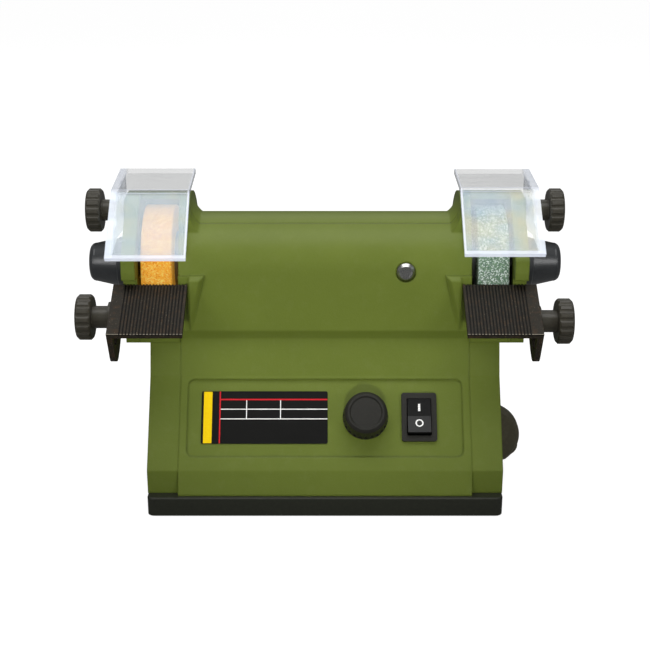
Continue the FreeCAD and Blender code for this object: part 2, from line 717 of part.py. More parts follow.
def make_end_cap(name, side):
    """Black cap over the spindle's end, tapered, with a stepped rim and a round nose."""
    x0, rim_x, neck_x, tip_x = guard_out, cell("cap_rim_x"), cell("cap_neck_x"), cell("cap_tip_x")
    rad, tip_rad, nose = cell("cap_rad"), cell("cap_tip_rad"), 2.6
    hollow = cell("cap_hollow_rad")
    points = [(x0, hollow), (x0, cell("cap_rim_rad")), (rim_x, cell("cap_rim_rad")),
              (rim_x + 0.3, rad + 0.35), (neck_x, rad + 0.35), (neck_x + 0.3, rad),
              (tip_x - nose, tip_rad), (tip_x, tip_rad - nose * 0.9, nose, -1), (tip_x, 0),
              (cell("cap_hollow_x"), 0), (cell("cap_hollow_x"), hollow - 1.6)]
    return turned(name + "_end_cap", points, side)


# ---- visors ------------------------------------------------------------------------------------
def unit_normal(p, q):
    """Unit vector a quarter turn to the left of the line from p to q."""
    dy, dz = q[0] - p[0], q[1] - p[1]
    long = root(dy * dy + dz * dz)
    return -dz / long, dy / long


def make_visor(name, side):
    """One clear moulding: a bent sheet over the wheel and a side flange on the outside."""
    axis = (cell("visor_axis_y"), cell("visor_axis_z"))
    corners = [tuple(cell("visor_%s_%s" % (spot, way)) for way in "yz") for spot in
               ("back", "bend", "low")]
    corners = [(y - axis[0], z - axis[1]) for y, z in corners]
    back, bend, low = corners
    top_n, front_n = unit_normal(bend, back), unit_normal(low, bend)
    thick = cell("visor_thick")
    share = 1 + (top_n[0] * front_n[0] + top_n[1] * front_n[1])
    inner_bend = tuple(bend[i] - thick * (top_n[i] + front_n[i]) / share for i in (0, 1))
    inner_back = tuple(back[i] - thick * top_n[i] for i in (0, 1))
    inner_low = tuple(low[i] - thick * front_n[i] for i in (0, 1))
    lift = cell("visor_lift") if side > 0 else as_size(0)
    body = new_body(name + "_visor", 0, axis[0], axis[1], V(-1, 0, 0), lift)
    x0, x1 = cell("visor_x"), cell("visor_out_x")
    pad(body, "YZ_Plane", "sheet", reach(side, x0, x1), x1 - x0,
        [back, bend, low, inner_low, inner_bend, inner_back])
    lobe = 8
    flange = [back, bend, low, (low[0] + 3, low[1] - 1.2), (low[0] + 24, low[1] + 2.2),
              (0, -lobe), (lobe, 0, lobe, 1), (back[0], back[1] - 8)]
    pad(body, "YZ_Plane", "flange", reach(side, x1 - thick, x1), thick, flange)
    cuts = [(0, 0, cell("screw_rad") + 0.08)]
    cuts += [slot_points(y, as_size(y) + 5, z, 1.5) for y, z in ((-1.5, 11), (-17, 9.8), (-30, 1.5))]
    pocket(body, "YZ_Plane", "holes", reach(side, x1 - thick - 1, x1 + 1), thick + 2, *cuts)
    return body


# ---- clamp screws ------------------------------------------------------------------------------
def make_clamp_screw(label, side, axis, collar_x, head_x):
    """Threaded shank, smooth collar and a scalloped plastic head."""
    rad, tall, tip = cell("knob_rad"), cell("knob_tall"), cell("screw_tip_x")
    end = head_x + tall
    points = [(tip, 0), (tip, cell("screw_rad")), (collar_x, cell("screw_rad")),
              (collar_x, cell("collar_rad")), (head_x, cell("collar_rad")), (head_x, rad - 0.8),
              (head_x + 0.8, rad), (end - 1, rad), (end, rad - 1), (end, rad - 2.6),
              (end - 0.7, rad - 3.2), (end - 0.7, 0)]
    body = turned(label, points, side, axis[0], axis[1])
    notch = pocket(body, "YZ_Plane", "notch", head_x - 0.5, tall + 1, (rad + 0.75, 0, 1.35))
    pattern(body, notch, cell("knob_notches"))
    return body


def pattern(body, feature, count):
    """Repeats a feature in a full circle about its sketch's normal."""
    made = body.newObject("PartDesign::PolarPattern", body.Name + "_pattern")
    made.Originals = [feature]
    made.Axis = (feature.Profile[0], ["N_Axis"])
    made.Angle = 360
    bind(made, "Occurrences", count)
    made.Occurrences = int(as_size(count).value)
    body.Tip = made
    return made


# ---- tool rests --------------------------------------------------------------------------------
def make_tool_rest(name, side):
    """Ribbed plate in front of the wheel with a slotted flange hanging on its outer side."""
    body = new_body(name + "_tool_rest", 0, cell("rest_edge_y"), cell("rest_edge_z"), V(1, 0, 0),
                    rest_tilt)
    x0, x1, long, thick = cell("rest_x"), cell("rest_out_x"), cell("rest_long"), cell("rest_thick")
    pad(body, "YZ_Plane", "plate", reach(side, x0, x1), x1 - x0, box_points(0, long, -thick, 0))
    drop = cell("rest_drop")
    flange = [(0, -1), (0, 6 - drop), (6, -drop, 6, 1), (10, -drop), (long - 3, 3.4 - drop),
              (long, 6.4 - drop, 3.2, 1), (long, -1)]
    pad(body, "YZ_Plane", "flange", reach(side, x1 - cell("rest_flange"), x1), cell("rest_flange"),
        flange)
    down = -cell("rest_pin_down_" + name)
    half = cell("rest_slot_half")
    pocket(body, "YZ_Plane", "slot", reach(side, x1 - 4, x1 + 1), 5,
           slot_points(cell("rest_slot_front") + 1.2, cell("rest_slot_back") - 1, down, half))
    pitch, rib = cell("rest_rib_pitch"), cell("rest_rib_half")
    first = reach(side, x0 + pitch - rib, x0 + pitch + rib)
    groove = pocket(body, "XY_Plane", "groove", -cell("rest_rib_deep"), cell("rest_rib_deep") + 1,
                    box_points(first, first + rib * 2, -1, long + 1))
    count = 19
    rows = body.newObject("PartDesign::LinearPattern", body.Name + "_grooves")
    rows.Originals = [groove]
    rows.Direction = (groove.Profile[0], ["H_Axis"])
    rows.Reversed = side < 0
    bind(rows, "Length", pitch * (count - 1))
    rows.Occurrences = count
    body.Tip = rows
    return body


def make_rest_guide(name, side):
    """Flanged bush that rides in the rest's slot on the clamp screw."""
    x0, x1 = guard_out + 1.4, cell("rest_out_x") + 1.3
    bush, flange, bore = cell("rest_slot_half") - 0.08, 6.4, cell("screw_rad") + 0.06
    points = [(x0, bore), (x0, bush), (x1 - 1, bush), (x1 - 1, flange), (x1, flange), (x1, bore)]
    y, z = rest_axis(name)
    return turned(name + "_rest_guide", points, side, y, z)


# ---- wheels and spindle ------------------------------------------------------------------------
wheel_x, wheel_out = cell("wheel_x"), cell("wheel_x") + cell("wheel_wide")
nut_x = wheel_out + cell("flange_thick") - 0.2


def make_wheel(name, side):
    rad, bore, edge = cell("wheel_rad"), cell("wheel_bore"), 0.4
    return turned(name + "_grinding_wheel",
                  [(wheel_x, bore), (wheel_x, rad - edge), (wheel_x + edge, rad),
                   (wheel_out - edge, rad), (wheel_out, rad - edge), (wheel_out, bore)], side)


def make_inner_flange(name, side):
    """Steel flange with a sleeve that fills the wheel's bore."""
    x0, rad = wheel_x - cell("flange_thick"), cell("flange_rad")
    return turned(name + "_inner_flange",
                  [(x0, cell("thread_rad")), (x0, rad - 0.5), (x0 + 0.5, rad), (wheel_x, rad),
                   (wheel_x, cell("sleeve_rad")), (wheel_out - 0.5, cell("sleeve_rad")),
                   (wheel_out - 0.5, cell("thread_rad"))], side)


def make_outer_flange(name, side):
    rad = cell("flange_rad")
    return turned(name + "_outer_flange",
                  [(wheel_out, cell("thread_rad")), (wheel_out, rad), (nut_x - 0.5, rad),
                   (nut_x, rad - 0.5), (nut_x, cell("thread_rad"))], side)


def make_nut(name, side):
    body = new_body(name + "_wheel_nut")
    corner = cell("nut_flats") / 2 / cosine(as_size(30))
    points = [(corner * cosine(as_size(turn)), corner * sine(as_size(turn)))
              for turn in range(0, 360, 60)]
    pad(body, "YZ_Plane", "hexagon", reach(side, nut_x, nut_x + cell("nut_tall")), cell("nut_tall"),
        points, (0, 0, cell("thread_rad")))
    return body


def make_spindle():
    shoulder, tip = wheel_x - cell("flange_thick"), cell("spindle_tip_x")
    rad, thread = cell("spindle_rad"), cell("thread_rad")
    return turned("spindle", [(-tip, 0), (-tip, thread - 0.6), (0.6 - tip, thread),
                              (-shoulder, thread), (-shoulder, rad), (shoulder, rad),
                              (shoulder, thread), (tip - 0.6, thread), (tip, thread - 0.6), (tip, 0)])


def make_bearing(name, side):
    """Sealed ball bearing, drawn as one ring with its seal recessed on both faces."""
    x0, rad = cell("bearing_x") + 3, cell("bearing_rad")
    x1, bore = x0 + cell("bearing_wide"), cell("spindle_rad") + 0.03
    points = [(x0, bore), (x0, bore + 1.6), (x0 + 0.3, bore + 1.8), (x0 + 0.3, rad - 1.8),
              (x0, rad - 1.6), (x0, rad), (x1, rad), (x1, rad - 1.6), (x1 - 0.3, rad - 1.8),
              (x1 - 0.3, bore + 1.8), (x1, bore + 1.6), (x1, bore)]
    return turned(name + "_bearing", points, side)


# ---- motor -------------------------------------------------------------------------------------
can_rad, can_in = cell("can_rad"), cell("can_rad") - cell("can_wall")
can_half, bell_thick = cell("can_half"), cell("bell_thick")
comm_x, comm_end = cell("comm_x"), cell("comm_x") + cell("comm_long")


def make_motor_parts():
    node(tube("motor_can", can_rad, can_in, -can_half, can_half))
    for name, side in SIDES:
        start = reach(side, can_half - bell_thick, can_half)
        node(tube(name + "_motor_bell", can_in, cell("spindle_rad") + 0.6, start,
                  start + bell_thick))
    ring_form = tube("magnet_ring", can_in, cell("magnet_in"), cell("core_left"), cell("core_right"))
    node(cut("field_magnets", ring_form, block("magnet_gap", -30, 30, -20, 20, -5, 5)))
    core = turned("armature_core", [(cell("core_left"), cell("spindle_rad")),
                                    (cell("core_left"), cell("core_rad")),
                                    (cell("core_right"), cell("core_rad")),
                                    (cell("core_right"), cell("spindle_rad"))])
    slot = pocket(core, "YZ_Plane", "slot", cell("core_left") - 1, cell("core_right") + 24,
                  box_points(cell("core_rad") - 4.2, cell("core_rad") + 1, -0.9, 0.9))
    pattern(core, slot, 9)
    node(core)
    coils = []
    for name, x0 in (("left", cell("core_left") - cell("coil_long")), ("right", cell("core_right"))):
        coils.append(tube("coil_" + name, cell("coil_rad"), cell("spindle_rad") + 0.5, x0,
                          x0 + cell("coil_long")))
    node(group("armature_windings", coils))
    node(turned("commutator", [(comm_x, cell("spindle_rad")), (comm_x, cell("comm_rad") + 0.6),
                               (comm_x + 1, cell("comm_rad") + 0.6), (comm_x + 1, cell("comm_rad")),
                               (comm_end, cell("comm_rad")), (comm_end, cell("spindle_rad"))]))
    brushes, holders = [], []
    middle, half = comm_x + cell("comm_long") / 2 + 0.5, cell("brush_half")
    for name, turn in (("front", -1), ("back", 1)):
        y0 = cell("comm_rad") + 0.25
        long = cell("brush_long")
        low = reach(turn, y0, y0 + long)
        brushes.append(block("brush_" + name, middle - half, middle + half, low, low + long,
                             -half, half))
        low = reach(turn, y0 + 1.5, can_in - 0.3)
        box = block("holder_box_" + name, middle - half - 1, middle + half + 1, low,
                    low + (can_in - 0.3 - y0 - 1.5), -half - 1, half + 1)
        low = reach(turn, y0 - 1, y0 + long)
        room = block("holder_room_" + name, middle - half, middle + half, low, low + long + 1,
                     -half, half)
        holders.append(cut("holder_" + name, box, room))
    node(group("carbon_brushes", brushes))
    node(group("brush_holders", holders))
    mounts = []
    for name, side in SIDES:
        start = reach(side, 19, 26)
        mounts.append(tube("mount_" + name, inner_rad, can_rad, start, start + 7))
    node(group("motor_mount_rings", mounts))


# ---- control panel -----------------------------------------------------------------------------
panel_back = -deep - wall - 0.1


def make_speed_knob():
    """Round control knob, slightly tapered, with a scalloped rim and a recessed face ring."""
    body = new_body("speed_knob")
    on_panel(body, cell("dial_x"), row_v, as_size(0))
    low, rad, face = cell("dial_gap") - deep, cell("dial_rad"), cell("dial_face_rad")
    high, shaft = cell("dial_gap") - deep + cell("dial_tall"), cell("pot_shaft_rad")
    spin(body, "profile", [(shaft, low), (rad, low), (rad, low + 1.6), (face + 0.2, high - 1),
                           (face - 1, high), (face - 1.8, high), (face - 2.3, high - 0.5),
                           (0, high - 0.5), (0, high - 3), (shaft, high - 3)], axis="V_Axis")
    notch = pocket(body, "XY_Plane", "notch", low + 1.6, cell("dial_tall"), (rad + 0.25, 0, 0.85))
    pattern(body, notch, cell("dial_notches"))
    return body


def make_potentiometer():
    body = new_body("potentiometer")
    on_panel(body, cell("dial_x"), row_v, as_size(0))
    shaft = cell("pot_shaft_rad")
    low = panel_back - cell("pot_deep")
    spin(body, "profile", [(shaft + 0.05, low + 1), (shaft + 0.05, -deep), (shaft + 0.8, -deep),
                           (shaft + 0.8, panel_back), (cell("pot_rad"), panel_back),
                           (cell("pot_rad"), low), (0, low), (0, low + 1)], axis="V_Axis")
    return body


def make_pot_shaft():
    body = new_body("potentiometer_shaft")
    on_panel(body, cell("dial_x"), row_v, as_size(0))
    low = panel_back - cell("pot_deep") + 1.3
    high = cell("dial_gap") - deep + cell("dial_tall") - 3
    pad(body, "XY_Plane", "shaft", low, high - low, (0, 0, cell("pot_shaft_rad")))
    return body


def make_switch_body():
    body = new_body("switch_body")
    on_panel(body, cell("switch_x"), row_v, as_size(0))
    half_u, half_v = cell("bezel_half_x"), cell("bezel_half_y")
    tall, inset = cell("bezel_tall"), 0.8
    pad(body, "XY_Plane", "bezel", -deep, tall, rounded_points(-half_u, half_u, -half_v, half_v, 1.2))
    pad(body, "XY_Plane", "case", -cell("switch_deep"), cell("switch_deep") - deep,
        box_points(inset - half_u, half_u - inset, inset - half_v, half_v - inset))
    open_u, open_v = cell("rocker_half_x") + 0.3, cell("rocker_half_y") + 0.6
    pocket(body, "XY_Plane", "well", -9, 12, box_points(-open_u, open_u, -open_v, open_v))
    return body


def make_rocker():
    """Rocker of the mains switch, drawn level and set down at its upper end."""
    body = new_body("switch_rocker")
    tip = cell("rocker_press")
    pivot = -1.2
    on_panel(body, cell("switch_x"), row_v, as_size(pivot))
    turn = 90 - cell("panel_tilt") - tip
    bind(body, "Placement.Rotation.Angle", turn)
    half_u, half_v = cell("rocker_half_x"), cell("rocker_half_y")
    points = [(-half_v, 0), (-4, -4.4), (4, -4.4), (half_v, 0), (half_v, 2.9), (0, 2.0),
              (-half_v, 2.9)]
    pad(body, "YZ_Plane", "side", -half_u, half_u * 2, points)
    return body


def make_rating_plate():
    half_u, half_v = cell("plate_half_x"), cell("plate_half_y")
    return panel_form("rating_plate", -deep, cell("plate_thick"),
                      rounded_points(-half_u, half_u, -half_v, half_v, 0.8),
                      cell("plate_x"), row_v)


def make_front_screw():
    """Domed socket screw in the barrel's front, right of the middle."""
    body = new_body("barrel_screw", cell("front_screw_x"), 0, cell("front_screw_z"))
    rad, seat = cell("front_screw_rad"), cell("barrel_rad") - 1.6
    shank = cell("front_screw_shank")
    spin(body, "profile", [(0, -seat - 2.3), (rad - 1.1, -seat - 2.3), (rad, -seat - 1.2),
                           (rad, -seat - 0.02), (shank, -seat - 0.02), (shank, -seat + 1.8),
                           (0, -seat + 1.8)], plane="XY_Plane", axis="V_Axis")
    corner = cell("front_screw_hex") / cosine(as_size(30)) * 0.8
    hexagon = [(corner * cosine(as_size(turn)), corner * sine(as_size(turn)))
               for turn in range(0, 360, 60)]
    pocket(body, "XZ_Plane", "socket", seat + 0.8, 2, hexagon)
    return body


# ---- cord outlet, circuit board, screws --------------------------------------------------------
def make_cord_outlet():
    """Half-round plate on the right wall, with the boss behind it that the mains lead leaves."""
    body = new_body("cord_outlet")
    rad, z, low = cell("outlet_rad"), cell("outlet_z"), cell("outlet_low_z")
    centre_x = cell("outlet_out_x") - rad
    reach_x = side_x - centre_x
    top = z + root(rad * rad - reach_x * reach_x)
    foot = centre_x + root(rad * rad - (z - low) * (z - low))
    front, back = cell("outlet_y"), cell("outlet_y") + cell("outlet_thick")
    pad(body, "XZ_Plane", "half_round", -back, back - front,
        [(side_x, low), (foot, low), (side_x, top, rad, 1)])
    boss_x, boss_z, boss_back = cell("boss_x"), cell("boss_z"), cell("boss_back_y")
    pad(body, "XZ_Plane", "boss", -boss_back, boss_back - back + 1,
        (boss_x, boss_z, cell("boss_rad")))
    pocket(body, "XZ_Plane", "gland_bore", -boss_back - 1, 17, (boss_x, boss_z, cell("outlet_hole")))
    round_edges(body, 1.5, outlet_edge, "Chamfer")
    return body


def outlet_edge(edge):
    """The round and the flat edge of the half-round plate's front face."""
    box, centre = edge.BoundBox, edge.CenterOfMass
    on_face = abs(box.YMax - CELLS["outlet_y"]) < 0.001 and box.YLength < 0.001
    return on_face and centre.x > CELLS["side_x"] + 0.5


def make_cord_gland():
    """Rubber bush in the outlet's bore."""
    body = new_body("cord_gland")
    hole, back, x, z = cell("outlet_hole"), cell("boss_back_y"), cell("boss_x"), cell("boss_z")
    pad(body, "XZ_Plane", "bush", -back, 12, (x, z, hole), (x, z, hole - 1))
    pad(body, "XZ_Plane", "lip", -back - 1.2, 1.2, (x, z, hole + 0.9), (x, z, hole - 1))
    return body


board_z, board_x = cell("board_z"), cell("board_x")


def make_board_parts():
    board_back = cell("board_y") + 14
    node(block("circuit_board", -board_x, board_x, -6, board_back, board_z,
               board_z + cell("board_thick")))
    top = board_z + cell("board_thick")
    parts = [peg("capacitor_large", 6, -18, 24, top, top + 16),
             peg("capacitor_small", 4, -2, 28, top, top + 11),
             block("heat_sink", 14, 26, 12, 30, top, top + 14),
             block("terminal_block", -30, -12, -2, 7, top, top + 8)]
    node(group("board_components", parts))
    floor = cell("base_top_z")
    node(group("board_standoffs", [peg("standoff_" + name, 3, x, y, floor, board_z)
                                   for name, x, y in (("a", -29, 0), ("b", 29, 0),
                                                      ("c", -29, 34), ("d", 29, 34))]))


def make_side_screws(name, side):
    made = []
    for index, (y, z) in enumerate(side_screw_spots):
        tag = "%s_%d" % (name, index)
        seat = side_x - cell("side_head_deep") + 0.1
        head = reach(side, seat, side_x - 0.2)
        shank = reach(side, side_x - cell("side_screw_long"), seat)
        made.append(join("MultiFuse", "side_screw_" + tag, [
            rod("side_head_" + tag, cell("side_head_rad") - 0.1, head, head + side_x - 0.2 - seat, y, z),
            rod("side_shank_" + tag, cell("side_hole_rad") - 0.05, shank,
                shank + seat - side_x + cell("side_screw_long"), y, z)]))
    return group(name + "_side_screws", made)


def make_guard_screws(name, side):
    made = []
    for index, (y, z) in enumerate(guard_screw_spots()):
        tag = "%s_%d" % (name, index)
        seat = guard_out - cell("guard_head_deep")
        tip = guard_x - cell("guard_screw_reach") + 1
        head = reach(side, seat, guard_out - 0.2)
        shank = reach(side, tip, seat)
        made.append(join("MultiFuse", "guard_screw_" + tag, [
            rod("guard_head_" + tag, cell("guard_head_rad") - 0.05, head, head + guard_out - 0.2 - seat,
                y, z),
            rod("guard_shank_" + tag, cell("guard_hole_rad") - 0.05, shank, shank + seat - tip, y, z)]))
    return group(name + "_guard_screws", made)


# ---- the machine -------------------------------------------------------------------------------
for made in (make_base(), make_feet(), make_front_cover(), make_rear_cover()):
    node(made)
for name, side in SIDES:
    for make in (make_side_housing, make_guard_cover, make_threaded_inserts, make_end_cap,
                 make_visor, make_tool_rest, make_rest_guide, make_wheel, make_inner_flange,
                 make_outer_flange, make_nut, make_bearing, make_side_screws, make_guard_screws):
        node(make(name, side))
    visor_axis = (cell("visor_axis_y"), cell("visor_axis_z"))
    node(make_clamp_screw(name + "_visor_screw", side, visor_axis, cell("visor_out_x") + 0.4,
                          cell("visor_knob_x")))
    node(make_clamp_screw(name + "_rest_screw", side, rest_axis(name), cell("rest_out_x") + 1.6,
                          cell("rest_knob_x")))
make_motor_parts()
make_board_parts()
for make in (make_spindle, make_speed_knob, make_potentiometer, make_pot_shaft, make_switch_body,
             make_rocker, make_rating_plate, make_front_screw, make_cord_outlet, make_cord_gland):
    node(make())

doc.recompute()
for thing in doc.Objects:
    if "Invalid" in thing.State or "Error" in thing.State:
        raise RuntimeError("%s did not recompute: %s" % (thing.Name, thing.State))
os.makedirs("parts", exist_ok=True)
for made in nodes:
    shape = made.Shape
    if shape.isNull() or not shape.isValid():
        raise RuntimeError("%s has no valid shape" % made.Label)
    shape.exportStep("parts/%s.step" % made.Label)
print(len(nodes), "nodes")
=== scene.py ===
"""Small bench grinder with two grinding wheels: finishes, eased edges, printed marks, light, camera.

Lengths are in metres. The machine stands on the floor at z = 0 and faces -Y, its spindle runs along X.
"""
import json
import math

import bmesh
import bpy
from mathutils import Matrix, Vector
from mathutils.bvhtree import BVHTree


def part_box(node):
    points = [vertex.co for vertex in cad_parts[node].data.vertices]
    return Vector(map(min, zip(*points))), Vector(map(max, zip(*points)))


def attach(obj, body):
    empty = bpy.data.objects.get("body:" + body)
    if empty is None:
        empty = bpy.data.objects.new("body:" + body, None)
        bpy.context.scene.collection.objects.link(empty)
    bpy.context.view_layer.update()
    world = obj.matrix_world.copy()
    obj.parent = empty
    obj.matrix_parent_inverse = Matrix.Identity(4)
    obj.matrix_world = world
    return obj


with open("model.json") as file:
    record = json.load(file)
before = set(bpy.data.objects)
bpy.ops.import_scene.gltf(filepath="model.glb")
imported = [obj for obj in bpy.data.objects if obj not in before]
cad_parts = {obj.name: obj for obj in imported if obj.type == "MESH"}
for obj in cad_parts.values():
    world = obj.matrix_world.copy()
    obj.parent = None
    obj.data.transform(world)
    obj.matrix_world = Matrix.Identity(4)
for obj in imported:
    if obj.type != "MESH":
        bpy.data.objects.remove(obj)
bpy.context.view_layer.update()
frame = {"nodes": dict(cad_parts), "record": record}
MM = 0.001
SIDES = (("left", -1), ("right", 1))


# ---- shader building ---------------------------------------------------------------------------
class Link:
    """An output socket that takes part in sums and products."""

    def __init__(self, shop, socket):
        self.shop = shop
        self.socket = socket

    def _maths(self, operation, *values):
        return self.shop.node("ShaderNodeMath", {"operation": operation}, *values)

    def __add__(self, other):
        return self._maths("ADD", self, other)

    def __radd__(self, other):
        return self._maths("ADD", other, self)

    def __sub__(self, other):
        return self._maths("SUBTRACT", self, other)

    def __rsub__(self, other):
        return self._maths("SUBTRACT", other, self)

    def __mul__(self, other):
        return self._maths("MULTIPLY", self, other)

    def __rmul__(self, other):
        return self._maths("MULTIPLY", other, self)

    def __truediv__(self, other):
        return self._maths("DIVIDE", self, other)

    def __pow__(self, other):
        return self._maths("POWER", self, other)

    def __abs__(self):
        return self._maths("ABSOLUTE", self)

    def clamped(self):
        return self.shop.node("ShaderNodeClamp", {}, self, 0.0, 1.0)

    def most(self, other):
        return self._maths("MAXIMUM", self, other)

    def wave(self):
        return self._maths("SINE", self)


class Finish:
    """One material: its node tree, and a Principled surface that the recipes fill in."""

    def __init__(self, name, **constants):
        self.material = bpy.data.materials.new(name)
        self.material.use_nodes = True
        self.tree = self.material.node_tree
        self.surface = self.tree.nodes["Principled BSDF"]
        for key, value in constants.items():
            socket = key.replace("_", " ").title().replace("Ior", "IOR")
            self.surface.inputs[socket].default_value = value
        self.place = self.node("ShaderNodeTexCoord", {}, out="Object")

    def node(self, kind, settings, *values, out=0, **named):
        """Adds a node: its settings first, then socket values or links by order, then by name."""
        made = self.tree.nodes.new(kind)
        for key, value in settings.items():
            if key == "stops":
                self._stops(made.color_ramp, value)
            else:
                setattr(made, key, value)
        wanted = list(enumerate(values))
        wanted += [(key.replace("_", " "), value) for key, value in named.items()]
        for key, value in wanted:
            if isinstance(value, Link):
                self.tree.links.new(value.socket, made.inputs[key])
            elif value is not None:
                made.inputs[key].default_value = value
        return Link(self, made.outputs[out])

    @staticmethod
    def _stops(ramp, stops):
        while len(ramp.elements) < len(stops):
            ramp.elements.new(0.5)
        for element, (position, level) in zip(ramp.elements, stops):
            element.position = position
            element.color = (level, level, level, 1)

    def ramp(self, value, *stops):
        """Grey ramp through (position, level) stops."""
        return self.node("ShaderNodeValToRGB", {"stops": stops}, value)

    def axes(self, vector=None):
        """The x, y and z of a vector, or of the piece's own place in metres."""
        split = self.node("ShaderNodeSeparateXYZ", {}, vector or self.place)
        return [Link(self, output) for output in split.socket.node.outputs]

    def stretched(self, x, y, z):
        """The place, scaled by a different amount along each axis."""
        return self.node("ShaderNodeVectorMath", {"operation": "MULTIPLY"}, self.place, (x, y, z))

    def noise(self, size, detail=3.0, rough=0.55, where=None):
        """Cloudy noise whose largest lumps are about size metres across."""
        return self.node("ShaderNodeTexNoise", {}, Vector=where or self.place, Scale=1 / size,
                         Detail=detail, Roughness=rough)

    def cells(self, size, feature="F1", out="Distance"):
        """Grain cells about size metres across."""
        return self.node("ShaderNodeTexVoronoi", {"feature": feature}, Vector=self.place,
                         Scale=1 / size, out=out)

    def blend(self, share, one, other):
        """A colour between one and other."""
        number_sockets = [None] * 5
        return self.node("ShaderNodeMix", {"data_type": "RGBA"}, share, *number_sockets, one, other, out=2)

    def feed(self, **links):
        """Links sockets of the surface, named with _ for each space."""
        for socket, link in links.items():
            self.tree.links.new(link.socket, self.surface.inputs[socket.replace("_", " ")])

    def bump(self, height, depth, soft_edge=0.0):
        """Raises the surface by height times depth metres, and softens corners over soft_edge metres."""
        eased = None
        if soft_edge:
            eased = self.node("ShaderNodeBevel", {"samples": 6}, Radius=soft_edge)
        self.feed(Normal=self.node("ShaderNodeBump", {}, Distance=depth, Height=height, Normal=eased,
                                   out="Normal"))


def srgb(red, green, blue):
    """A display colour from 0 to 255 as the linear colour that shaders take."""
    def linear(level):
        share = level / 255
        return share / 12.92 if share <= 0.04045 else ((share + 0.055) / 1.055) ** 2.4
    return (linear(red), linear(green), linear(blue), 1.0)


def within(value, reach, soft):
    """1 where value is under reach, fading to 0 over soft."""
    return ((reach - value) / soft).clamped()


# ---- finishes ----------------------------------------------------------------------------------
GREEN_DEEP = (101, 116, 40)
GREEN_LIGHT = (112, 127, 48)
GREEN_SPECK = (134, 146, 78)
GREEN_DUST = (150, 160, 104)


def moulded_green():
    """Olive green moulded shell: even colour, a very fine satin grain, faint flow marks."""
    finish = Finish("olive_green_shell", specular_ior_level=0.30)
    drift = finish.noise(22 * MM, 2.0)
    speck = finish.noise(0.9 * MM, 4.0, 0.7)
    dust = finish.ramp(finish.noise(5 * MM, 5.0, 0.65), (0.52, 0.0), (0.8, 1.0))
    body = finish.blend(drift, srgb(*GREEN_DEEP), srgb(*GREEN_LIGHT))
    body = finish.blend(speck * 0.22, body, srgb(*GREEN_SPECK))
    finish.feed(Base_Color=finish.blend(dust * 0.10, body, srgb(*GREEN_DUST)),
                Roughness=0.40 + speck * 0.10 + dust * 0.06)
    grain = finish.cells(0.55 * MM, "SMOOTH_F1") + speck * 0.8
    finish.bump(grain, 0.035 * MM, 1.3 * MM)
    return finish.material


def moulded_black(name, colour, roughness, grain_size, grain_depth, lighter=1.35, coat=0.05):
    """Black or brownish black moulding with a pebbled grain and slightly rubbed high spots."""
    finish = Finish(name, coat_weight=coat, coat_roughness=0.3)
    deep = srgb(*colour)
    rubbed = srgb(*(level * lighter for level in colour))
    drift = finish.noise(9 * MM, 4.0, 0.6)
    grain = finish.cells(grain_size, "SMOOTH_F1")
    speck = finish.noise(grain_size * 2.2, 3.0, 0.6)
    share = (drift * 0.35 + finish.ramp(speck, (0.45, 0.0), (0.75, 1.0)) * 0.4).clamped()
    finish.feed(Base_Color=finish.blend(share, deep, rubbed),
                Roughness=roughness + drift * 0.10 - speck * 0.05)
    finish.bump(grain * 0.7 + speck, grain_depth, 0.3 * MM)
    return finish.material


def rocker_gloss():
    """Glossy black rocker with faint swirl marks from fingers."""
    finish = Finish("glossy_rocker", specular_ior_level=0.35)
    swirl = finish.noise(6 * MM, 5.0, 0.6, finish.stretched(1, 3, 1))
    finish.feed(Base_Color=finish.blend(swirl, srgb(16, 16, 16), srgb(30, 30, 29)),
                Roughness=0.34 + swirl * 0.12)
    finish.bump(swirl, 0.02 * MM)
    return finish.material


def plate_film():
    """Black printed film under a clear coat."""
    finish = Finish("rating_film", specular_ior_level=0.25)
    ripple = finish.noise(7 * MM, 2.0)
    speck = finish.noise(0.7 * MM, 3.0)
    finish.feed(Base_Color=finish.blend(speck * 0.5, srgb(20, 20, 19), srgb(28, 28, 27)),
                Roughness=0.30 + ripple * 0.12)
    finish.bump(ripple + speck * 0.1, 0.03 * MM)
    return finish.material


def print_ink(name, colour):
    """Screen-printed ink with the slight unevenness of a thin coat, glowing a little in its own colour as
    painted light.
    """
    finish = Finish(name, specular_ior_level=0.3, emission_strength=0.3)
    thin = finish.noise(0.8 * MM, 4.0, 0.6)
    coat = finish.blend(thin, srgb(*(level * 0.86 for level in colour)), srgb(*colour))
    finish.feed(Base_Color=coat, Emission_Color=coat, Roughness=0.32 + thin * 0.12)
    finish.bump(thin, 0.01 * MM)
    return finish.material


# Tool rest: its tilt, its front upper edge as y, z, the depth of its grooves and the length and
# depth of the worn rib tips.
REST_TILT = math.radians(26.5)
REST_EDGE = Vector((-51.7, 80.7)) * MM
RIB_DEEP = 0.45 * MM
GROOVE_START = 0.08 * MM
TIP_LONG = 0.45 * MM
TIP_DEEP = 0.12 * MM


